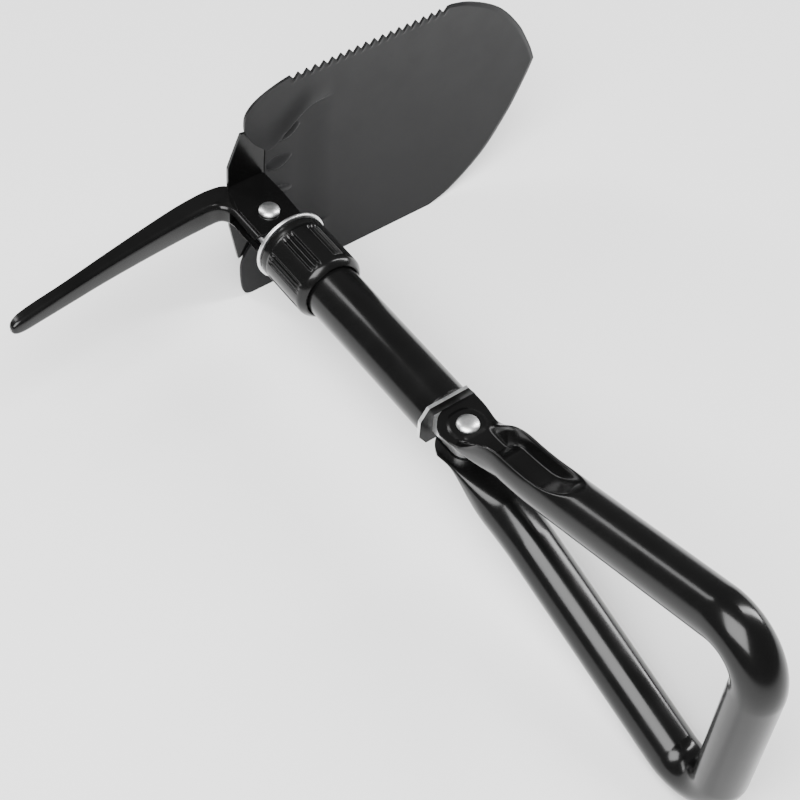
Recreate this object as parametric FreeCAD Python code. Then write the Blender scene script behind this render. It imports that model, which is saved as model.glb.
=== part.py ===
import FreeCAD, Part
import math
import os

V = FreeCAD.Vector
X_AXIS = V(1, 0, 0)
Z_AXIS = V(0, 0, 1)

# The tool lies on the blade's plain side edge and on one corner of the grip.
# +X runs along the tube to the grip, +Y is the way the blade points, +Z is the toothed side.
# Everything is drawn about the head pin and is moved onto the resting surface at the end.

# Driving dimensions, in millimetres
TUBE_R = 16.0
TUBE_WALL = 1.5
PIN_SPACING = 180.5
TOOL_HALF_WIDTH = 77.5
PIN_R = 4.0
PIN_FIT = 0.05

SHEET = 1.8
BLADE_LENGTH = 211.0
BLADE_SHOULDER = 137.0
BLADE_OFFSET = 26.0
BLADE_DISH_R = 520.0
TOOTH_PITCH = 5.6
TOOTH_DEPTH = 3.6
TOOTH_COUNT = 19
TEETH_FROM = 28.0

TONGUE_HALF = 2.9
TONGUE_R = 11.5
WASHER = 0.8
PICK_CHEEK_IN = 4.0
PICK_CHEEK_OUT = 6.2
PICK_ROOT_HALF = 8.2
PICK_TIP_HALF = 4.6
PICK_WALL = 2.2
PICK_REACH = 156.0
EAR_IN = 6.5
EAR_OUT = 8.5
LOBE_R = 19.4

THREAD_R = 16.6
THREAD_FROM = 19.9
TUBE_FROM = 46.0
SPIGOT_TO = 70.0
RING_FROM = 20.2
RING_THICK = 2.0
RING_R = 21.8
COLLAR_R = 20.5
COLLAR_LENGTH = 39.5
COLLAR_GAP = 0.4
FLUTE_PAIRS = 8

PLATE_FROM = 162.3
PLATE_THICK = 2.0
PLATE_HALF_Y = 17.5
PLATE_HALF_Z = 14.0
BLOCK_HALF_Y = 9.0
BLOCK_HALF_Z = 6.5
CHEEK_IN = 7.6
CHEEK_OUT = 9.4
CHEEK_HALF_Y = 14.0
SOCKET_BACK = 14.8
SOCKET_CLEAR_R = 15.7
LEG_R = 13.3
LEG_WALL = 1.6
GRIP_X = 384.5
CORNER_R = 24.0
LEG_START_X = 238.0
LEG_START_Z = 26.5


def box(x0, x1, y0, y1, z0, z1):
    return Part.makeBox(x1 - x0, y1 - y0, z1 - z0, V(x0, y0, z0))


def rod(radius, start, length, axis):
    return Part.makeCylinder(radius, length, start, axis)


def both_sides(make):
    """One solid above the tool's middle plane and its mirror image below."""
    upper = make()
    return Part.makeCompound([upper, upper.mirror(V(0, 0, 0), Z_AXIS)])


def slab(points, low, high, normal):
    """A flat outline pushed from low to high along Z or X."""
    if normal == "z":
        corners = [V(a, b, low) for a, b in points]
        way = V(0, 0, high - low)
    else:
        corners = [V(low, a, b) for a, b in points]
        way = V(high - low, 0, 0)
    return Part.Face(Part.makePolygon(corners + corners[:1])).extrude(way)


def curve_through(points):
    line = Part.BSplineCurve()
    line.interpolate(points)
    return line.toShape()


def make_main_tube():
    length = PLATE_FROM - TUBE_FROM
    outside = rod(TUBE_R, V(TUBE_FROM, 0, 0), length, X_AXIS)
    return outside.cut(rod(TUBE_R - TUBE_WALL, V(TUBE_FROM, 0, 0), length, X_AXIS))


def make_hinge_block():
    """Threaded sleeve pressed into the tube, with the tongue that carries the head pin."""
    thread = rod(THREAD_R, V(THREAD_FROM, 0, 0), TUBE_FROM - THREAD_FROM, X_AXIS)
    thread = thread.fuse(rod(TUBE_R - TUBE_WALL, V(TUBE_FROM, 0, 0), SPIGOT_TO - TUBE_FROM, X_AXIS))
    plate = box(0, THREAD_FROM + 1, -TONGUE_R, TONGUE_R, -TONGUE_HALF, TONGUE_HALF)
    eye = rod(TONGUE_R, V(0, 0, -TONGUE_HALF), 2 * TONGUE_HALF, Z_AXIS)
    body = thread.fuse([plate, eye])
    return body.cut(rod(PIN_R, V(0, 0, -20), 40, Z_AXIS)).removeSplitter()


def make_rivet(x, grip_half, head_r, head_h):
    """Round shank with a domed head on each end."""
    dome_r = (head_r ** 2 + head_h ** 2) / (2 * head_h)
    ball = Part.makeSphere(dome_r, V(x, 0, grip_half + head_h - dome_r))
    cap = ball.common(rod(head_r + 1, V(x, 0, grip_half), head_h + 1, Z_AXIS))
    shank = rod(PIN_R, V(x, 0, -grip_half), 2 * grip_half, Z_AXIS)
    return shank.fuse([cap, cap.mirror(V(0, 0, 0), Z_AXIS)]).removeSplitter()


def make_washers(x, low, radius):
    def one():
        disc = rod(radius, V(x, 0, low), WASHER, Z_AXIS)
        return disc.cut(rod(PIN_R, V(x, 0, low - 1), WASHER + 2, Z_AXIS))
    return both_sides(one)


def dished_layer(inner):
    """A layer of sheet curved across the blade, hollow towards the grip."""
    axis_x = BLADE_DISH_R - BLADE_OFFSET
    start = V(axis_x, -20, 0)
    outer = rod(BLADE_DISH_R + inner + SHEET, start, BLADE_LENGTH + 40, V(0, 1, 0))
    layer = outer.cut(rod(BLADE_DISH_R + inner, start, BLADE_LENGTH + 40, V(0, 1, 0)))
    half = TOOL_HALF_WIDTH + 5
    return layer.common(box(-60, 0, -20, BLADE_LENGTH + 20, -half, half))


def blade_outline():
    """Outline of the blade seen from the grip, as (y, z)."""
    top = TOOL_HALF_WIDTH
    notch = 27.0
    root = 15.0
    tip_upper = [V(0, BLADE_SHOULDER, top), V(0, 151, 72.6), V(0, 166, 64.0), V(0, 188, 42.5),
                 V(0, 202, 20.5), V(0, BLADE_LENGTH, 0)]
    tip_lower = [V(0, p.y, -p.z) for p in reversed(tip_upper)]
    top_root = [V(0, 22, top - 3), V(0, 7, 69.6), V(0, 0, 60), V(0, 1.2, 45), V(0, root, notch)]
    low_root = [V(0, root, -notch), V(0, 2, -43), V(0, -4.5, -55), V(0, -5.5, -top + 4)]
    edges = [
        curve_through(tip_upper),
        curve_through(tip_lower),
        Part.makeLine(V(0, BLADE_SHOULDER, -top), V(0, -1.5, -top)),
        Part.makeLine(V(0, -1.5, -top), low_root[-1]),
        curve_through(list(reversed(low_root))),
        Part.makeLine(low_root[0], top_root[-1]),
        curve_through(list(reversed(top_root))),
        Part.makeLine(top_root[0], tip_upper[0]),
    ]
    return Part.Wire(Part.__sortEdges__(edges))


def make_blade():
    outline = Part.Face(blade_outline())
    outline.translate(V(-60, 0, 0))
    sheet = dished_layer(0).common(outline.extrude(V(60, 0, 0)))
    teeth = []
    for number in range(TOOTH_COUNT):
        y = TEETH_FROM + number * TOOTH_PITCH
        low = TOOL_HALF_WIDTH - TOOTH_DEPTH
        notch = [(y, TOOL_HALF_WIDTH + 2), (y + 0.45 * TOOTH_PITCH, low), (y + 0.9 * TOOTH_PITCH, TOOL_HALF_WIDTH + 2)]
        teeth.append(slab(notch, -40, 0, "x"))
    return sheet.cut(teeth)


def make_blade_bracket():
    """Back plate welded behind the blade, with two ears that take the head pin."""
    outline = [(-9, -23), (-9, 23), (-1, 46), (32, 38), (62, 14), (62, -14), (32, -38), (-5, -50)]
    plate = dished_layer(SHEET).common(slab(outline, -60, 0, "x"))
    back = -BLADE_OFFSET - SHEET - 0.5
    side = [(back, -8.5), (-11, -13.6), (13, -13.6), (13, 13.6), (-8, 14.6), (back + 2, 14.2), (back, 13)]

    def ear():
        blank = slab(side, EAR_IN, EAR_OUT, "z")
        front = rod(LOBE_R, V(0, 0, EAR_IN), EAR_OUT - EAR_IN, Z_AXIS)
        rear = box(-40, 0, -20, 20, EAR_IN, EAR_OUT)
        return blank.common(front.fuse(rear)).cut(rod(PIN_R + PIN_FIT, V(0, 0, 0), 20, Z_AXIS))
    ears = both_sides(ear)
    return plate.fuse(ears.Solids).removeSplitter()


def pick_side(inset):
    """Side outline of the pick, as (x, y); inset moves the web's line inwards."""
    web = [(10.4, -16.4), (-13, -16.4), (-18.2, -19.4), (-20.4, -26), (-19.6, -45), (-17.4, -70),
           (-14.6, -95), (-11.2, -120), (-7.6, -142), (-5.2, -152)]
    nose = [(-5.4, -155), (-7.0, -PICK_REACH), (-9.6, -155)]
    back = [(-12.6, -149), (-17.2, -130), (-22.6, -100), (-26.8, -68), (-29.6, -38), (-30.6, -20),
            (-29.4, -12), (-19, -7)]
    if inset:
        moved = [(x + shift_x, y + shift_y) for (x, y), (shift_x, shift_y) in zip(web, inset)]
        return moved[:-2] + [(-60, -136), (-60, 20), (20, 20), (20, moved[0][1])]
    return web + nose + back + [(-9, 9), (9, 9), (14, 0)]


def pick_width(half_root, half_tip):
    """Outline of the pick seen along X, as (y, z)."""
    end = -PICK_REACH - 1
    tip = [(-144, half_tip), (-151, 0.85 * half_tip), (-PICK_REACH, 0.3 * half_tip), (end, 0)]
    upper = [(25, PICK_CHEEK_OUT), (-19.8, PICK_CHEEK_OUT), (-20.5, half_root)] + tip
    return upper + [(y, -z) for y, z in reversed(upper[:-1])]


def make_pick():
    """Folded channel: two cheeks on the head pin and a web that tapers to the point."""
    far = 40
    outside = slab(pick_side(None), -far, far, "z")
    outside = outside.common(slab(pick_width(PICK_ROOT_HALF, PICK_TIP_HALF), -60, 60, "x"))
    shifts = [(0, PICK_WALL), (-1, PICK_WALL), (-1.8, 1.0)] + [(-PICK_WALL, 0)] * 7
    hollow = slab(pick_side(shifts), -far, far, "z")
    room = [(25, PICK_CHEEK_IN), (-20, PICK_CHEEK_IN), (-24, PICK_ROOT_HALF - PICK_WALL), (-136, 2.2)]
    room = room + [(y, -z) for y, z in reversed(room)]
    hollow = hollow.common(slab(room, -60, 60, "x"))
    slot = box(-14.5, 20, -20, 20, -PICK_CHEEK_IN, PICK_CHEEK_IN)
    body = outside.cut([hollow, slot])
    eye = rod(LOBE_R, V(0, 0, -far), 2 * far, Z_AXIS).fuse(box(-60, 0, -200, 20, -far, far))
    body = body.common(eye)
    return body.cut(rod(PIN_R + PIN_FIT, V(0, 0, -20), 40, Z_AXIS)).removeSplitter()


def make_collar_ring():
    ring = rod(RING_R, V(RING_FROM, 0, 0), RING_THICK, X_AXIS)
    return ring.cut(rod(THREAD_R + COLLAR_GAP, V(RING_FROM - 1, 0, 0), RING_THICK + 2, X_AXIS))


def make_collar():
    """Threaded locking collar with pairs of grip flutes."""
    start = RING_FROM + RING_THICK
    end = start + COLLAR_LENGTH
    profile = [V(start, 0, 0), V(start, 0, COLLAR_R - 0.8), V(start + 0.8, 0, COLLAR_R), V(end - 4, 0, COLLAR_R),
               V(end, 0, COLLAR_R - 2), V(end, 0, 0)]
    body = Part.Face(Part.makePolygon(profile + profile[:1])).revolve(V(0, 0, 0), X_AXIS, 360)
    body = body.cut(rod(THREAD_R + COLLAR_GAP, V(start - 1, 0, 0), TUBE_FROM - start + 4, X_AXIS))
    body = body.cut(rod(TUBE_R + COLLAR_GAP, V(start, 0, 0), COLLAR_LENGTH + 1, X_AXIS))
    flutes = []
    for pair in range(FLUTE_PAIRS):
        for side in (-1, 1):
            angle = math.radians(360 / FLUTE_PAIRS * (pair + 0.5) + side * 7)
            centre_r = COLLAR_R + 0.5
            start_point = V(start + 8, centre_r * math.cos(angle), centre_r * math.sin(angle))
            flutes.append(rod(1.6, start_point, COLLAR_LENGTH - 13, X_AXIS))
    return body.cut(flutes)


def make_stop_plate():
    y = PLATE_HALF_Y
    z = PLATE_HALF_Z
    cut_y = 5.0
    cut_z = 8.0
    quarter = [(y - cut_y, z), (y, z - cut_z)]
    outline = quarter + [(a, -b) for a, b in reversed(quarter)]
    outline = outline + [(-a, -b) for a, b in quarter] + [(-a, b) for a, b in reversed(quarter)]
    return slab(outline, PLATE_FROM, PLATE_FROM + PLATE_THICK, "x")


def make_handle_tongue():
    start = PLATE_FROM + PLATE_THICK
    block = box(start, PIN_SPACING, -BLOCK_HALF_Y, BLOCK_HALF_Y, -BLOCK_HALF_Z, BLOCK_HALF_Z)
    eye = rod(BLOCK_HALF_Y, V(PIN_SPACING, 0, -BLOCK_HALF_Z), 2 * BLOCK_HALF_Z, Z_AXIS)
    hole = rod(PIN_R, V(PIN_SPACING, 0, -20), 40, Z_AXIS)
    return block.fuse(eye).cut(hole).removeSplitter()


def oval(x, z_mid, half_y, half_z, power):
    """Closed rounded section across the handle; a higher power is squarer."""
    count = 24
    points = []
    for step in range(count):
        turn = 2 * math.pi * step / count
        c = math.cos(turn)
        s = math.sin(turn)
        y = half_y * math.copysign(abs(c) ** (2 / power), c)
        z = half_z * math.copysign(abs(s) ** (2 / power), s)
        points.append(V(x, y, z_mid + z))
    line = Part.BSplineCurve()
    line.interpolate(points, PeriodicFlag=True)
    return Part.Wire(line.toShape())


def grip_path():
    """Centre line of both legs and the grip bar between them, in the XZ plane."""
    corner_z = TOOL_HALF_WIDTH - LEG_R
    start = V(LEG_START_X, 0, LEG_START_Z)
    # The bend meets the leg and the bar; its far side just touches the widest plane.
    centre = V(GRIP_X - CORNER_R, 0, corner_z - CORNER_R)
    slope = 0.27
    for _ in range(20):
        tangent = V(centre.x - CORNER_R * math.sin(slope), 0, centre.z + CORNER_R * math.cos(slope))
        slope = math.atan2(tangent.z - start.z, tangent.x - start.x)
    half_turn = (math.pi / 2 - slope) / 2
    rise = CORNER_R * math.cos(half_turn)
    middle = V(centre.x + CORNER_R * math.sin(half_turn), 0, centre.z + rise)
    bar_top = V(GRIP_X, 0, centre.z)

    def down(p):
        return V(p.x, p.y, -p.z)
    edges = [
        Part.makeLine(start, tangent),
        Part.Arc(tangent, middle, bar_top).toShape(),
        Part.makeLine(bar_top, down(bar_top)),
        Part.Arc(down(bar_top), down(middle), down(tangent)).toShape(),
        Part.makeLine(down(tangent), down(start)),
    ]
    return Part.Wire(edges), start, V(math.cos(slope), 0, math.sin(slope))


def make_d_handle():
    """Bent tube whose two flattened ends are the cheeks of the handle hinge."""
    path, start, along = grip_path()

    def pipe(radius):
        ring = Part.Wire(Part.makeCircle(radius, start, along))
        return path.makePipeShell([ring], True, True)
    tube = pipe(LEG_R).cut(pipe(LEG_R - LEG_WALL))
    cheek_mid = (CHEEK_IN + CHEEK_OUT) / 2
    cheek_half = (CHEEK_OUT - CHEEK_IN) / 2
    flat_to = PIN_SPACING + 15

    def leg():
        sections = [
            oval(flat_to, cheek_mid, CHEEK_HALF_Y, cheek_half, 3.2),
            oval(flat_to + 14, cheek_mid + 3.4, CHEEK_HALF_Y, cheek_half + 3.2, 2.4),
            oval(flat_to + 29, cheek_mid + 11.2, LEG_R + 0.2, LEG_R - 4.0, 2.0),
            oval(LEG_START_X + 3, LEG_START_Z + 0.7, LEG_R, LEG_R * 1.03, 2.0),
        ]
        loft = Part.makeLoft(sections, True, False)
        cheek = box(PIN_SPACING - SOCKET_BACK, flat_to + 1, -CHEEK_HALF_Y, CHEEK_HALF_Y, CHEEK_IN, CHEEK_OUT)
        near = rod(SOCKET_CLEAR_R, V(PIN_SPACING, 0, CHEEK_IN), CHEEK_OUT - CHEEK_IN, Z_AXIS)
        allowed = near.fuse([box(PIN_SPACING, flat_to + 2, -20, 20, CHEEK_IN, CHEEK_OUT),
                             box(PIN_SPACING - SOCKET_BACK, flat_to, 0, 20, CHEEK_IN, CHEEK_OUT)])
        cheek = cheek.common(allowed)
        return loft.fuse(cheek)
    upper = leg()
    body = tube.fuse([upper, upper.mirror(V(0, 0, 0), Z_AXIS)])
    return body.cut(rod(PIN_R + PIN_FIT, V(PIN_SPACING, 0, -20), 40, Z_AXIS))


def main():
    os.makedirs("parts", exist_ok=True)
    nodes = {
        "main_tube": make_main_tube(),
        "hinge_block": make_hinge_block(),
        "head_rivet": make_rivet(0, EAR_OUT + 0.1, 6.0, 3.0),
        "head_washers": make_washers(0, TONGUE_HALF, 9.0),
        "blade": make_blade(),
        "blade_bracket": make_blade_bracket(),
        "pick": make_pick(),
        "collar_ring": make_collar_ring(),
        "collar": make_collar(),
        "stop_plate": make_stop_plate(),
        "handle_tongue": make_handle_tongue(),
        "handle_rivet": make_rivet(PIN_SPACING, CHEEK_OUT + 0.1, 6.2, 3.0),
        "handle_washers": make_washers(PIN_SPACING, BLOCK_HALF_Z, 8.5),
        "d_handle": make_d_handle(),
    }
    whole = Part.makeCompound(list(nodes.values())).optimalBoundingBox(True, False)
    stand = V(-(whole.XMin + whole.XMax) / 2, -(whole.YMin + whole.YMax) / 2, -whole.ZMin)
    print("head pin at", stand, "size", whole.XLength, whole.YLength, whole.ZLength)
    for name, shape in nodes.items():
        shape.translate(stand)
        print(name, shape.isValid(), len(shape.Solids), round(shape.Volume))
        shape.exportStep(f"parts/{name}.step")


main()
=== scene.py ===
import math

import bmesh
import bpy
import numpy as np
from mathutils import Matrix, Vector


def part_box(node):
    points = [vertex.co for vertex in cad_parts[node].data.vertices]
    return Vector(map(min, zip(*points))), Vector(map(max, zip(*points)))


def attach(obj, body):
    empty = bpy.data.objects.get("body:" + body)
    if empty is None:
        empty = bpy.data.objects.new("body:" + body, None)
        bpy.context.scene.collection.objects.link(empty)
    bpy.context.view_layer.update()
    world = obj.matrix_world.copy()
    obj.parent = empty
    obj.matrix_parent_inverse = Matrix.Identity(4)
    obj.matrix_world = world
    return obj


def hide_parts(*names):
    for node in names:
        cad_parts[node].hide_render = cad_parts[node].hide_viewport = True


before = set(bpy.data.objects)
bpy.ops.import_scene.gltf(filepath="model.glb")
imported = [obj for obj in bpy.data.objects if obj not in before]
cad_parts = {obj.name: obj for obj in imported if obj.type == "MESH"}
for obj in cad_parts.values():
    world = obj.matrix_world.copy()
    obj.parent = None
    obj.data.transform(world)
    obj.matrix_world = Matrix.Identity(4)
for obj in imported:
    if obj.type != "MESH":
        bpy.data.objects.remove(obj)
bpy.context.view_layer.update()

MM = 0.001
pin_low, pin_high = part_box("head_rivet")
HEAD_PIN = (Vector(pin_low) + Vector(pin_high)) / 2
grip_low, grip_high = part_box("handle_rivet")
HANDLE_PIN = (Vector(grip_low) + Vector(grip_high)) / 2
PIN_SPACING = (HANDLE_PIN.x - HEAD_PIN.x) / MM
blade_low, blade_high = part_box("blade")
HALF_WIDTH = (blade_high[2] - blade_low[2]) / 2 / MM

# Sizes in millimetres about the head pin: x along the tube, y along the blade, z across the blade.
BLADE_REACH = 211.0
BLADE_OFFSET = 26.0
BLADE_DISH_R = 520.0
SHEET = 1.8
TOOTH_PITCH = 5.6
TOOTH_DEPTH = 3.4
TEETH_FROM = 28.0
TOOTH_COUNT = 19
LEG_R = 13.3
GRIP_X = 384.5
CORNER_R = 24.0
LEG_START = (238.0, 26.5)
CHEEK_IN = 7.6
CHEEK_HALF = 0.9
SOCKET_BACK = 14.8


def smooth(value, low, high):
    """Goes from 0 at low to 1 at high without a corner at either end."""
    t = np.clip((value - low) / (high - low), 0.0, 1.0)
    return t * t * (3 - 2 * t)


def spline(points, count):
    """Catmull-Rom points through a list of tuples, evenly shared between them."""
    p = np.array(points, float)
    p = np.vstack([2 * p[0] - p[1], p, 2 * p[-1] - p[-2]])
    out = []
    for t in np.linspace(0, len(points) - 1, count):
        i = min(int(t), len(points) - 2)
        u = t - i
        a, b, c, d = p[i], p[i + 1], p[i + 2], p[i + 3]
        bend = (2 * a - 5 * b + 4 * c - d) * u ** 2
        twist = (3 * b - a - 3 * c + d) * u ** 3
        out.append(0.5 * (2 * b + (c - a) * u + bend + twist))
    return np.array(out)


def new_object(name, vertices, faces, body, material, replaces, angle=35):
    """Makes a mesh piece from millimetre points about the head pin; edges sharper than angle stay crisp."""
    mesh = bpy.data.meshes.new(name)
    mesh.from_pydata([tuple(HEAD_PIN + Vector(v) * MM) for v in vertices], [], faces)
    mesh.validate()
    bm = bmesh.new()
    bm.from_mesh(mesh)
    bmesh.ops.recalc_face_normals(bm, faces=bm.faces)
    for edge in bm.edges:
        edge.smooth = len(edge.link_faces) != 2 or edge.calc_face_angle(0) < math.radians(angle)
    for face in bm.faces:
        face.smooth = True
    bm.to_mesh(mesh)
    bm.free()
    obj = bpy.data.objects.new(name, mesh)
    bpy.context.scene.collection.objects.link(obj)
    obj.data.materials.append(material)
    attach(obj, body)
    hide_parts(replaces)
    return obj


def loops_to_faces(loops, points):
    """Quads between rings of points, with a flat cap at each end."""
    faces = []
    for i in range(loops - 1):
        for j in range(points):
            k = (j + 1) % points
            faces.append((i * points + j, i * points + k, (i + 1) * points + k, (i + 1) * points + j))
    faces.append(tuple(range(points)))
    faces.append(tuple((loops - 1) * points + j for j in reversed(range(points))))
    return faces


# Materials

def node(tree, kind, **settings):
    """Adds a shader node; each setting is one of its inputs or, failing that, an attribute."""
    made = tree.nodes.new(kind)
    for key, value in settings.items():
        if key in made.inputs:
            made.inputs[key].default_value = value
        else:
            setattr(made, key, value)
    return made


def paint(name, dark, light, rough, grain_mm, grain_height, wave_height, specular, coat):
    """Sprayed paint on steel: fine grain over a slow waviness, with cloudy tone and gloss."""
    material = bpy.data.materials.new(name)
    material.use_nodes = True
    tree = material.node_tree
    shader = tree.nodes["Principled BSDF"]
    place = node(tree, "ShaderNodeTexCoord").outputs["Object"]
    cloud = node(tree, "ShaderNodeTexNoise", Scale=38.0, Detail=5.0, Roughness=0.6)
    grain = node(tree, "ShaderNodeTexNoise", Scale=1000.0 / grain_mm, Detail=2.0)
    wave = node(tree, "ShaderNodeTexNoise", Scale=120.0, Detail=1.0)
    for texture in (cloud, grain, wave):
        tree.links.new(place, texture.inputs["Vector"])
    tone = node(tree, "ShaderNodeMix", data_type="RGBA")
    tone.inputs["A"].default_value = (*dark, 1)
    tone.inputs["B"].default_value = (*light, 1)
    tree.links.new(cloud.outputs["Fac"], tone.inputs["Factor"])
    tree.links.new(tone.outputs["Result"], shader.inputs["Base Color"])
    gloss = node(tree, "ShaderNodeMapRange")
    gloss.inputs["From Min"].default_value = 0.3
    gloss.inputs["From Max"].default_value = 0.7
    gloss.inputs["To Min"].default_value = rough[0]
    gloss.inputs["To Max"].default_value = rough[1]
    tree.links.new(cloud.outputs["Fac"], gloss.inputs["Value"])
    tree.links.new(gloss.outputs["Result"], shader.inputs["Roughness"])
    bump_wave = node(tree, "ShaderNodeBump", Strength=1.0, Distance=wave_height * MM)
    bump_grain = node(tree, "ShaderNodeBump", Strength=1.0, Distance=grain_height * MM)
    tree.links.new(wave.outputs["Fac"], bump_wave.inputs["Height"])
    tree.links.new(grain.outputs["Fac"], bump_grain.inputs["Height"])
    tree.links.new(bump_wave.outputs["Normal"], bump_grain.inputs["Normal"])
    tree.links.new(bump_grain.outputs["Normal"], shader.inputs["Normal"])
    shader.inputs["Coat Weight"].default_value = coat
    shader.inputs["Coat Roughness"].default_value = 0.12
    shader.inputs["Specular IOR Level"].default_value = specular
    return material


def zinc_plate(name):
    """Bright zinc plating with fine brushed streaks and a faint crystalline mottle."""
    material = bpy.data.materials.new(name)
    material.use_nodes = True
    tree = material.node_tree
    shader = tree.nodes["Principled BSDF"]
    place = node(tree, "ShaderNodeTexCoord").outputs["Object"]
    mottle = node(tree, "ShaderNodeTexVoronoi", Scale=420.0)
    streak = node(tree, "ShaderNodeTexNoise", Scale=900.0, Detail=3.0)
    for texture in (mottle, streak):
        tree.links.new(place, texture.inputs["Vector"])
    tone = node(tree, "ShaderNodeMix", data_type="RGBA")
    tone.inputs["A"].default_value = (0.66, 0.67, 0.68, 1)
    tone.inputs["B"].default_value = (0.86, 0.86, 0.85, 1)
    tree.links.new(mottle.outputs["Distance"], tone.inputs["Factor"])
    tree.links.new(tone.outputs["Result"], shader.inputs["Base Color"])
    shader.inputs["Metallic"].default_value = 1.0
    rough = node(tree, "ShaderNodeMapRange")
    rough.inputs["To Min"].default_value = 0.26
    rough.inputs["To Max"].default_value = 0.44
    tree.links.new(streak.outputs["Fac"], rough.inputs["Value"])
    tree.links.new(rough.outputs["Result"], shader.inputs["Roughness"])
    bump = node(tree, "ShaderNodeBump", Strength=1.0, Distance=0.012 * MM)
    tree.links.new(streak.outputs["Fac"], bump.inputs["Height"])
    tree.links.new(bump.outputs["Normal"], shader.inputs["Normal"])
    return material


def rim_plate(name):
    """Zinc on the edges of the stop plate, with its two flat faces across the tube's axis coloured near
    black.
    """
    material = zinc_plate(name)
    tree = material.node_tree
    shader = tree.nodes["Principled BSDF"]
    normal = node(tree, "ShaderNodeTexCoord").outputs["Normal"]
    split = node(tree, "ShaderNodeSeparateXYZ")
    tree.links.new(normal, split.inputs["Vector"])
    size = node(tree, "ShaderNodeMath", operation="ABSOLUTE")
    tree.links.new(split.outputs["X"], size.inputs[0])
    facing = node(tree, "ShaderNodeMapRange")
    facing.inputs["From Min"].default_value = 0.75
    facing.inputs["From Max"].default_value = 0.95
    tree.links.new(size.outputs["Value"], facing.inputs["Value"])
    bright = shader.inputs["Base Color"].links[0].from_socket
    mix = node(tree, "ShaderNodeMix", data_type="RGBA")
    mix.inputs["B"].default_value = (0.02, 0.02, 0.02, 1)
    tree.links.new(facing.outputs["Result"], mix.inputs["Factor"])
    tree.links.new(bright, mix.inputs["A"])
    tree.links.new(mix.outputs["Result"], shader.inputs["Base Color"])
    return material


GLOSS = paint("gloss_black", dark=(0.002, 0.002, 0.002), light=(0.004, 0.004, 0.004), rough=(0.16, 0.26),
              grain_mm=0.55, grain_height=0.006, wave_height=0.03, specular=0.24, coat=0.1)
SATIN = paint("satin_blade", dark=(0.006, 0.006, 0.0065), light=(0.010, 0.010, 0.0105), rough=(0.38, 0.48),
              grain_mm=0.35, grain_height=0.012, wave_height=0.02, specular=0.16, coat=0.0)
ZINC = zinc_plate("bright_zinc")
RIM_ZINC = rim_plate("rim_zinc")


# Blade

# The root edge as (z, y), from the plain side over the hinge to the toothed side.
ROOT_EDGE = [
    (-HALF_WIDTH, 0.5), (-76.3, -3.2), (-73.5, -5.0), (-66, -5.5), (-55, -4.6), (-48, -1.5),
    (-43, 2.2), (-36, 8.5), (-30, 13.2), (-26, 15), (-13, 15), (0, 15), (13, 15), (26, 15),
    (30, 12.4), (36, 6.6), (42, 2.8), (48, 0.6), (54, 0), (60, 0.4), (65, 3.0), (69, 7.0),
    (72.5, 13.0), (75.5, 20.5), (HALF_WIDTH, 28)]
# The tip edge as (distance from the middle, y).
TIP_EDGE = [
    (0, BLADE_REACH), (5, 209.2), (11.3, 206.6), (20.5, 202), (31.5, 195.9), (42.5, 188),
    (50, 181.8), (57, 174.8), (64, 165.6), (70, 155.8), (74.5, 146.8), (HALF_WIDTH, 137)]
ROOT_CURVE = spline(ROOT_EDGE, 600)
TIP_CURVE = spline(TIP_EDGE, 400)
NECK_HALF = 27
NECK_SPREAD = 21
NECK_SUNK = 1.3
SHOULDER_HEIGHT = 2.6
SHOULDER_REACH = 11
DIMPLE_HEIGHT = 3.0
DIMPLE_LENGTH = 8.5
DIMPLE_WIDTH = 4.4
DIMPLE_TAPER = 0.16
# Each dimple as distance from the middle, y and lean, with its mirror image.
DIMPLES = ((12.0, 24.5, 0.10), (33.0, 30.0, 0.35))
TEETH_FADE_Z = 70.5
GROUND_DEPTH = 1.1
GROUND_WIDTH = 3.5
GROUND_FROM_Y = 100


def blade_root(z):
    """Edge of the blade beside the hinge, as y for each z."""
    return np.interp(z, ROOT_CURVE[:, 0], ROOT_CURVE[:, 1])


def blade_tip(z):
    """Edge of the blade at the tip, as y for each z."""
    return np.interp(abs(z), TIP_CURVE[:, 0], TIP_CURVE[:, 1])


def blade_relief(y, z):
    """Height of the pressing round the hinge: a sunk neck with raised shoulders and four dimples."""
    beyond = abs(z) - (NECK_HALF + NECK_SPREAD * smooth(y, 14, 44))
    fade = 1 - smooth(y, 36, 60)
    shoulder = smooth(beyond, -1.1, 1.1)
    swell = np.exp(-(np.clip(beyond, 0, None) / SHOULDER_REACH) ** 2)
    relief = fade * (SHOULDER_HEIGHT * shoulder * swell - NECK_SUNK * (1 - shoulder))
    for side in (-1, 1):
        for centre_z, centre_y, lean in DIMPLES:
            along = (y - centre_y) + lean * (side * z - centre_z)
            across = (side * z - centre_z) - lean * (y - centre_y)
            width = DIMPLE_WIDTH - DIMPLE_TAPER * along
            reach = (along / DIMPLE_LENGTH) ** 2 + (across / width) ** 2
            dome = np.clip(1 - reach, 0, None) ** 0.45
            relief = relief + DIMPLE_HEIGHT * dome * (0.35 - across / 7)
    return relief


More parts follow.
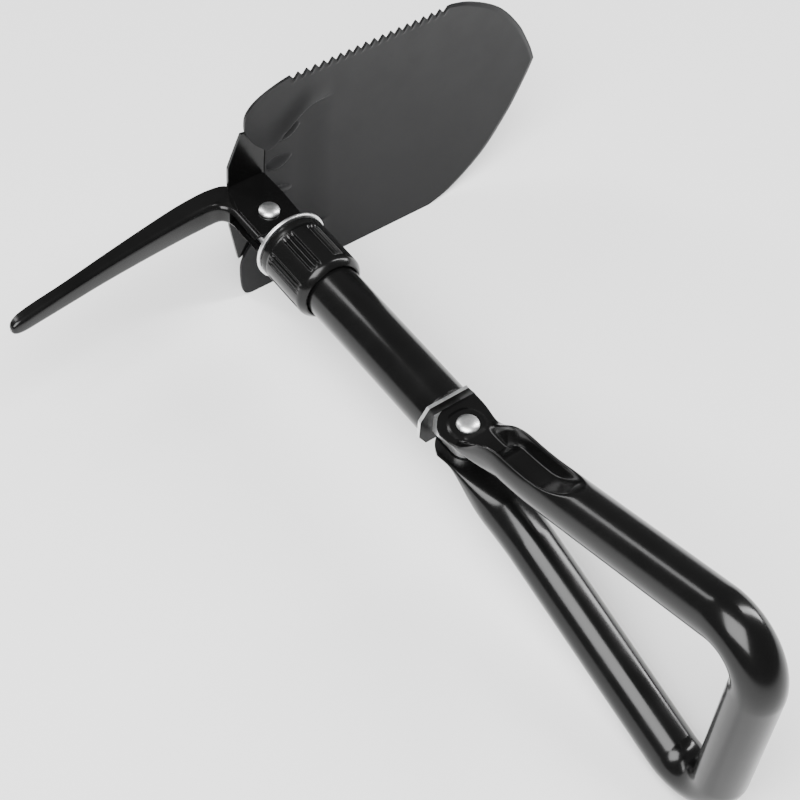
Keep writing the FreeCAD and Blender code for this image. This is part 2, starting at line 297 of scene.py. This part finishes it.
def make_blade():
    """Two skins of a grid from root to tip, joined round the rim."""
    columns = 300
    rows = 340
    share = np.linspace(-1, 1, columns)
    z_lines = HALF_WIDTH * np.sign(share) * (1 - (1 - abs(share)) ** 1.25)
    front = []
    back = []
    for z in z_lines:
        root = blade_root(z)
        tip = blade_tip(z)
        y = root + (tip - root) * np.linspace(0, 1, rows)
        phase = (y - TEETH_FROM) / TOOTH_PITCH
        tooth = np.where((phase >= 0) & (phase < TOOTH_COUNT), 1 - abs((phase % 1.0) / 0.45 - 1), 0)
        cut = TOOTH_DEPTH * np.clip(tooth, 0, None) * smooth(z, TEETH_FADE_Z, HALF_WIDTH)
        dish = BLADE_DISH_R - math.sqrt(BLADE_DISH_R ** 2 - z * z)
        relief = blade_relief(y, z)
        # The tip is ground thin along its edge.
        to_tip = np.where(y > GROUND_FROM_Y, (tip - y) * math.cos(math.atan(abs(z) / 60)), 99)
        ground = GROUND_DEPTH * (1 - smooth(to_tip, 0, GROUND_WIDTH))
        x_front = -BLADE_OFFSET + dish + relief - ground
        x_back = -BLADE_OFFSET + dish + np.clip(relief, 0, None) - SHEET
        front += list(zip(x_front, y, z - cut))
        back += list(zip(x_back, y, z - cut))
    size = columns * rows
    faces = []
    for i in range(columns - 1):
        for j in range(rows - 1):
            a = i * rows + j
            faces.append((a, a + rows, a + rows + 1, a + 1))
            faces.append((size + a, size + a + 1, size + a + rows + 1, size + a + rows))
    rim = list(range(rows))
    rim += [i * rows + rows - 1 for i in range(1, columns)]
    rim += [(columns - 1) * rows + j for j in range(rows - 2, -1, -1)]
    rim += [i * rows for i in range(columns - 2, 0, -1)]
    for a, b in zip(rim, rim[1:] + rim[:1]):
        faces.append((a, b, size + b, size + a))
    return new_object("blade_sheet", front + back, faces, "blade", SATIN, "blade", angle=40)


# Pick

PICK_STATIONS = [
    # web x, web y, free edge x, free edge y, half width, web thickness
    (10.2, -16.4, 12.0, 4.0, 6.2, 2.2),
    (7.5, -16.4, 9.5, 8.0, 6.2, 2.2),
    (0, -16.4, 0, 10.5, 6.2, 2.2),
    (-7, -16.4, -8.5, 8.5, 6.2, 2.2),
    (-12.0, -16.5, -16, 0.5, 6.2, 2.2),
    (-16.0, -17.8, -25.5, -5.5, 6.2, 2.2),
    (-18.9, -20.6, -32.0, -9.0, 6.5, 2.2),
    (-20.3, -25.5, -33.2, -19, 7.7, 2.2),
    (-20.3, -32, -32.6, -31, 8.1, 2.2),
    (-19.6, -45, -31.0, -46, 7.9, 2.2),
    (-17.4, -70, -27.0, -71, 7.3, 2.2),
    (-14.6, -95, -22.6, -96, 6.7, 2.2),
    (-11.4, -118, -18.4, -119, 6.1, 2.2),
    (-8.4, -138, -15.6, -138, 5.5, 3.0),
    (-7.0, -147, -14.0, -147, 5.1, 4.0),
    (-6.6, -152, -12.9, -151.6, 4.5, 4.4),
    (-6.9, -155, -11.6, -154.8, 3.2, 3.6),
    (-8.0, -156.2, -10.2, -156.2, 1.6, 1.6)]
PICK_WALL = 2.2
PICK_BEND_R = 3.4
PICK_EDGE_R = 0.35
BEND_STEPS = 6
SLOT_LOW = (-14.2, -20, -3.9)
SLOT_HIGH = (20, -9, 3.9)


def pick_section(half, depth, wall):
    """Closed outline of the channel as (z, depth below the web's outer face)."""
    radius = min(PICK_BEND_R, 0.45 * depth, 0.75 * half)
    wall = min(wall, 0.9 * depth)
    inner_half = max(half - PICK_WALL, 0.25 * half)
    inner_radius = max(0.3, min(radius - 1.2, 0.5 * inner_half, 0.4 * (depth - wall)))
    outer = [(half, depth - PICK_EDGE_R), (half, 0.5 * (depth + radius)), (half, radius)]
    inner = [(inner_half, depth - PICK_EDGE_R), (inner_half, 0.5 * (depth + wall)),
             (inner_half, wall + inner_radius)]
    for step in range(1, BEND_STEPS):
        angle = math.pi / 2 * step / BEND_STEPS
        outer.append((half - radius + radius * math.cos(angle), radius - radius * math.sin(angle)))
        inner.append((inner_half - inner_radius * (1 - math.cos(angle)),
                      wall + inner_radius * (1 - math.sin(angle))))
    outer.append((half - radius, 0))
    inner.append((inner_half - inner_radius, wall))
    rim = [(half - PICK_EDGE_R, depth), (inner_half + PICK_EDGE_R, depth)]
    loop = outer + [(-z, d) for z, d in reversed(outer)]
    loop += [(-z, d) for z, d in rim] + [(-z, d) for z, d in inner]
    return loop + list(reversed(inner)) + list(reversed(rim))


def cut_box(obj, low_mm, high_mm):
    """Takes a box given in millimetres about the head pin out of a mesh piece for good."""
    mesh = bpy.data.meshes.new("slot_cutter")
    low = HEAD_PIN + Vector(low_mm) * MM
    high = HEAD_PIN + Vector(high_mm) * MM
    corners = [(x, y, z) for x in (low.x, high.x) for y in (low.y, high.y) for z in (low.z, high.z)]
    sides = [(0, 1, 3, 2), (4, 6, 7, 5), (0, 4, 5, 1), (2, 3, 7, 6), (0, 2, 6, 4), (1, 5, 7, 3)]
    mesh.from_pydata(corners, [], sides)
    cutter = bpy.data.objects.new("slot_cutter", mesh)
    bpy.context.scene.collection.objects.link(cutter)
    slot = obj.modifiers.new("slot", "BOOLEAN")
    slot.operation = "DIFFERENCE"
    slot.object = cutter
    slot.solver = "EXACT"
    bpy.context.view_layer.update()
    shaped = obj.evaluated_get(bpy.context.evaluated_depsgraph_get())
    cut = bpy.data.meshes.new_from_object(shaped)
    obj.modifiers.clear()
    obj.data = cut
    bpy.data.objects.remove(cutter)


def make_pick():
    """Folded channel from the hinge lobe to the nose."""
    rings = []
    for web_x, web_y, edge_x, edge_y, half, wall in spline(PICK_STATIONS, 190):
        web = Vector((web_x, web_y, 0))
        inward = Vector((edge_x - web_x, edge_y - web_y, 0))
        depth = inward.length
        inward.normalize()
        loop = pick_section(half, depth, wall)
        rings.append([web + inward * d + Vector((0, 0, z)) for z, d in loop])
    vertices = [tuple(v) for ring in rings for v in ring]
    faces = loops_to_faces(len(rings), len(rings[0]))
    pick = new_object("pick_channel", vertices, faces, "pick", GLOSS, "pick", angle=40)
    # The web is slotted where it passes the tongue of the hinge block.
    cut_box(pick, SLOT_LOW, SLOT_HIGH)


# Turned parts

def turned(name, profile, body, material, replaces,
           axis="x", centre_x=0.0, segments=160, radius_at=None):
    """Spins a closed (along, radius) outline; radius_at may shape each point by its angle."""
    vertices = []
    for step in range(segments):
        turn = 2 * math.pi * step / segments
        for along, radius in profile:
            if radius_at:
                radius = radius_at(along, radius, turn)
            a = radius * math.cos(turn)
            b = radius * math.sin(turn)
            vertices.append((centre_x + along, a, b) if axis == "x" else (centre_x + a, b, along))
    points = len(profile)
    faces = []
    for i in range(segments):
        for j in range(points):
            k = (j + 1) % points
            m = (i + 1) % segments
            faces.append((i * points + j, i * points + k, m * points + k, m * points + j))
    return new_object(name, vertices, faces, body, material, replaces)


def rounded_outline(corners, radius):
    """Replaces each corner of a closed outline by a small curve."""
    steps = 4
    out = []
    for i, corner in enumerate(corners):
        here = np.array(corner, float)
        to_before = np.array(corners[i - 1], float) - here
        to_after = np.array(corners[(i + 1) % len(corners)], float) - here
        before_length = np.linalg.norm(to_before)
        after_length = np.linalg.norm(to_after)
        cut = min(radius, 0.45 * before_length, 0.45 * after_length)
        a = here + to_before / before_length * cut
        b = here + to_after / after_length * cut
        for step in range(steps + 1):
            t = step / steps
            out.append(tuple((1 - t) ** 2 * a + 2 * t * (1 - t) * here + t * t * b))
    return out


COLLAR_FROM = 22.2
COLLAR_TO = 61.7
COLLAR_R = 20.5
COLLAR_BORE_R = 16.45
COLLAR_THREAD_R = 17.0
FLUTE_GROUPS = 8
FLUTE_DEPTH = 1.25
FLUTE_GAP = math.radians(7.2)
FLUTE_WIDTH = math.radians(2.4)
RING_FROM = 20.2
RING_R = 21.8
TUBE_FROM = 46
TUBE_TO = 162.3
TUBE_R = 16
TUBE_BORE_R = 14.5
RIVET_HEIGHT = 3.0
RIVET_SHANK_R = 4.0
# Piece name, CAD node, place along the tube, height of the seat and radius of the head.
RIVETS = (("head_pin", "head_rivet", 0, 8.6, 6.0), ("handle_pin", "handle_rivet", PIN_SPACING, 9.5, 6.2))


def collar_radius(along, radius, turn):
    """Presses the flutes, three to a group, into the outside of the collar."""
    if radius < COLLAR_R - 2.6:
        return radius
    period = 2 * math.pi / FLUTE_GROUPS
    offset = (turn % period) - period / 2
    depth = 0
    for side in (-1, 0, 1):
        gap = (offset - side * FLUTE_GAP) / FLUTE_WIDTH
        depth = max(depth, FLUTE_DEPTH * math.exp(-gap ** 4))
    rise = smooth(along, COLLAR_FROM + 6.5, COLLAR_FROM + 9)
    fall = smooth(along, COLLAR_TO - 7.5, COLLAR_TO - 5)
    return radius - depth * float(rise * (1 - fall))


def rivet_profile(seat, head_r):
    """Both heads of a rivet and the shank between them, as (along, radius)."""
    dome = [(seat, RIVET_SHANK_R), (seat, head_r - 0.3), (seat + 0.35, head_r)]
    for a in np.linspace(0.05, math.pi / 2, 12):
        radius = head_r * math.cos(a) ** 0.8 if a < 1.5 else 0.02
        dome.append((seat + 0.6 + (RIVET_HEIGHT - 0.6) * math.sin(a), radius))
    return [(-z, r) for z, r in reversed(dome)] + dome


def make_turned_parts():
    """Lock collar, its ring, the shaft tube and the two rivets."""
    collar = [
        (COLLAR_FROM, 17.2), (COLLAR_FROM, COLLAR_R - 1.2), (COLLAR_FROM + 0.3, COLLAR_R - 0.5),
        (COLLAR_FROM + 1.0, COLLAR_R), (COLLAR_FROM + 4, COLLAR_R),
        (COLLAR_FROM + 4.6, COLLAR_R - 0.35), (COLLAR_FROM + 5.2, COLLAR_R - 0.35)]
    collar += [(x, COLLAR_R) for x in np.linspace(COLLAR_FROM + 6, COLLAR_TO - 5, 34)]
    collar += [
        (COLLAR_TO - 3.6, COLLAR_R - 0.1), (COLLAR_TO - 2.4, COLLAR_R - 0.6),
        (COLLAR_TO - 0.6, COLLAR_R - 2.1), (COLLAR_TO, COLLAR_R - 2.8),
        (COLLAR_TO, COLLAR_BORE_R + 0.4), (COLLAR_TO - 0.4, COLLAR_BORE_R),
        (COLLAR_TO - 12, COLLAR_BORE_R), (COLLAR_TO - 12, COLLAR_THREAD_R)]
    turned("lock_collar", collar, "collar", GLOSS, "collar",
           segments=720, radius_at=collar_radius)
    ring = [(RING_FROM, COLLAR_THREAD_R), (RING_FROM, RING_R),
            (COLLAR_FROM, RING_R), (COLLAR_FROM, COLLAR_THREAD_R)]
    turned("thrust_ring", rounded_outline(ring, 0.7), "collar", ZINC, "collar_ring")
    tube = [(TUBE_FROM, TUBE_BORE_R), (TUBE_FROM, TUBE_R), (TUBE_TO, TUBE_R), (TUBE_TO, TUBE_BORE_R)]
    turned("shaft_tube", rounded_outline(tube, 0.5), "shaft", GLOSS, "main_tube",
           segments=192)
    for name, replaced, x, seat, head_r in RIVETS:
        turned(name, rivet_profile(seat, head_r), "shaft", ZINC, replaced,
               axis="z", centre_x=x, segments=96)


# D-shaped handle

LEG_SLOPE_GUESS = 0.27
LEG_RISE = 5.6
LEG_RISE_FROM = 5
LEG_RISE_LENGTH = 52.5
FLAT_FROM = 2
FLAT_TO = 38
TROUGH_DEPTH = 12.0
TROUGH_HALF = 10.8
TROUGH_FADE = (58, 90)
TROUGH_END_FROM = 64
TROUGH_END_LENGTH = 26
BOSS_HEIGHT = 0.9
SWING_R = 15.6
SECTION_POINTS = 120


def leg_half_depth(reach):
    """Half depth of the flattened tube at a distance beyond the handle pin."""
    return CHEEK_HALF + (LEG_R - CHEEK_HALF) * float(smooth(reach, FLAT_FROM, FLAT_TO))


def handle_path():
    """Centre points of the upper half, from cheek to grip middle, and how far round the bend each is."""
    corner_z = HALF_WIDTH - LEG_R
    centre = np.array([GRIP_X - CORNER_R, corner_z - CORNER_R])
    slope = LEG_SLOPE_GUESS
    for _ in range(30):
        tangent = centre + CORNER_R * np.array([-math.sin(slope), math.cos(slope)])
        slope = math.atan2(tangent[1] - LEG_START[1], tangent[0] - LEG_START[0])
    start = []
    for reach in np.linspace(-SOCKET_BACK, LEG_START[0] - PIN_SPACING, 150):
        inner = CHEEK_IN + LEG_RISE * max(0.0, (reach - LEG_RISE_FROM) / LEG_RISE_LENGTH) ** 2.48
        start.append((PIN_SPACING + reach, inner + leg_half_depth(reach)))
    leg = np.linspace(LEG_START, tangent, 60)[1:]
    angles = np.linspace(-slope, math.pi / 2, 40)[1:]
    bend = [centre + CORNER_R * np.array([math.sin(a), math.cos(a)]) for a in angles]
    bar = [np.array([GRIP_X, z]) for z in np.linspace(centre[1], 0, 24)][1:]
    points = np.vstack([start, leg, bend, bar])
    straight = np.zeros(len(start) + len(leg))
    share = np.concatenate([straight, np.linspace(0, 1, len(bend)), np.ones(len(bar))])
    return points, share


def handle_section(x, z, share, outward):
    """One ring of points round the handle tube at a station of the upper half."""
    reach = x - PIN_SPACING
    on_leg = share == 0
    flat = float(1 - smooth(reach, FLAT_FROM, FLAT_TO)) if on_leg else 0.0
    half_y = LEG_R + 0.9 * flat + 1.6 * float(1 - smooth(reach, -8, 8))
    half_n = leg_half_depth(reach) if on_leg else LEG_R
    power = 2.0 + 2.4 * flat
    deepest = max(0.0, min(TROUGH_DEPTH, 1.75 * (half_n - CHEEK_HALF)))
    depth = deepest * float(1 - smooth(reach, *TROUGH_FADE))
    over = max(0.0, (reach - TROUGH_END_FROM) / TROUGH_END_LENGTH)
    width = TROUGH_HALF * math.sqrt(max(1 - over * over, 0.01))
    swell = math.sin(math.pi * share)
    points = []
    for step in range(SECTION_POINTS):
        turn = 2 * math.pi * step / SECTION_POINTS
        c = math.cos(turn)
        s = math.sin(turn)
        y = half_y * math.copysign(abs(c) ** (2 / power), c)
        n = half_n * math.copysign(abs(s) ** (2 / power), s)
        if on_leg and n > 0:
            # A deep trough is pressed into the outside of the leg beyond the rivet.
            if depth > 0 and half_n - depth < n:
                n += (half_n - depth - n) * float(1 - smooth(abs(y), 0.55 * width, width))
            # The sheet is drawn up round the rivet as a low boss.
            distance = math.hypot(reach, y)
            n += BOSS_HEIGHT * float(smooth(-distance, -11.5, -8.8)) * float(smooth(n, 0.0, 0.8))
        if on_leg and reach < -4 and y < 0:
            # The corner beside the stop plate is rounded so that the handle can swing.
            y = max(y, -math.sqrt(max(SWING_R ** 2 - reach ** 2, 4.0)))
        # Bending flattens each corner, more on its inside.
        n *= 1 - (0.10 if n > 0 else 0.18) * swell
        points.append((x + n * outward[0], y, z + n * outward[1]))
    return points


def make_handle():
    """One bent tube with flattened ends, the lower half mirrored from the upper."""
    path, share = handle_path()
    way = np.gradient(path, axis=0)
    way /= np.linalg.norm(way, axis=1)[:, None]
    rings = []
    for (x, z), b, (dx, dz) in zip(path, share, way):
        rings.append(handle_section(x, z, b, (-dz, dx)))
    rings += [[(x, y, -z) for x, y, z in ring] for ring in reversed(rings[:-1])]
    vertices = [v for ring in rings for v in ring]
    faces = loops_to_faces(len(rings), len(rings[0]))
    new_object("grip_handle", vertices, faces, "handle", GLOSS, "d_handle", angle=50)


def dress_cad_nodes():
    """CAD pieces that stay get a small bevel and their real material."""
    looks = {
        "blade_bracket": (GLOSS, 0.5),
        "hinge_block": (ZINC, 0.3),
        "head_washers": (ZINC, 0.1),
        "stop_plate": (RIM_ZINC, 0.35),
        "handle_tongue": (ZINC, 0.4),
        "handle_washers": (ZINC, 0.1),
    }
    for name, (material, width) in looks.items():
        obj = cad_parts[name]
        obj.data.materials.clear()
        obj.data.materials.append(material)
        bevel = obj.modifiers.new("edge", "BEVEL")
        bevel.width = width * MM
        bevel.segments = 3
        bevel.limit_method = "ANGLE"
        bevel.angle_limit = math.radians(40)
        bevel.harden_normals = True


# Studio

FLOOR_REACH = 6.0
WORLD_STRENGTH = 0.25


def area_light(name, position, target, size, power):
    """A soft box placed and aimed in millimetres about the head pin; its size is in metres."""
    data = bpy.data.lights.new(name, "AREA")
    data.shape = "RECTANGLE"
    data.size, data.size_y = size
    data.energy = power
    lamp = bpy.data.objects.new(name, data)
    lamp.location = HEAD_PIN + Vector(position) * MM
    aim = HEAD_PIN + Vector(target) * MM - lamp.location
    lamp.rotation_euler = aim.to_track_quat("-Z", "Y").to_euler()
    bpy.context.scene.collection.objects.link(lamp)


def make_studio():
    """Pale floor, even dim surroundings and three soft boxes."""
    mesh = bpy.data.meshes.new("floor")
    corners = [(x * FLOOR_REACH, y * FLOOR_REACH, 0) for x, y in ((-1, -1), (1, -1), (1, 1), (-1, 1))]
    mesh.from_pydata(corners, [], [(0, 1, 2, 3)])
    floor = bpy.data.objects.new("floor", mesh)
    bpy.context.scene.collection.objects.link(floor)
    material = bpy.data.materials.new("pale_floor")
    material.use_nodes = True
    shader = material.node_tree.nodes["Principled BSDF"]
    shader.inputs["Base Color"].default_value = (0.93, 0.93, 0.93, 1)
    shader.inputs["Roughness"].default_value = 0.9
    shader.inputs["Specular IOR Level"].default_value = 0.1
    mesh.materials.append(material)
    world = bpy.data.worlds.new("studio")
    world.use_nodes = True
    background = world.node_tree.nodes["Background"]
    background.inputs["Color"].default_value = (1, 1, 1, 1)
    background.inputs["Strength"].default_value = WORLD_STRENGTH
    bpy.context.scene.world = world
    area_light("key", (700, -900, 1700), (100, 60, 0), (1.5, 1.5), 105)
    area_light("left", (-1200, -500, 800), (80, 0, 0), (0.3, 1.6), 14)
    area_light("right", (300, 1500, 1000), (0, 60, 0), (0.3, 1.6), 34)


def make_camera():
    """Looks down from beside the grip, on the pick's side, about a metre from the head."""
    forward = Vector((-0.478, 0.398, -0.783)).normalized()
    data = bpy.data.cameras.new("camera")
    data.lens = 80.9
    data.sensor_width = 36.0
    data.clip_start = 0.01
    camera = bpy.data.objects.new("camera", data)
    camera.location = HEAD_PIN + Vector((585.4, -382.8, 725.2)) * MM
    right = Vector((0.589, 0.806, 0.050)).normalized()
    back = -forward
    up = back.cross(right).normalized()
    right = up.cross(back).normalized()
    place = Matrix((right, up, back)).transposed().to_4x4()
    place.translation = camera.location
    camera.matrix_world = place
    bpy.context.scene.collection.objects.link(camera)
    bpy.context.scene.camera = camera


make_blade()
make_pick()
make_turned_parts()
make_handle()
dress_cad_nodes()
make_studio()
make_camera()
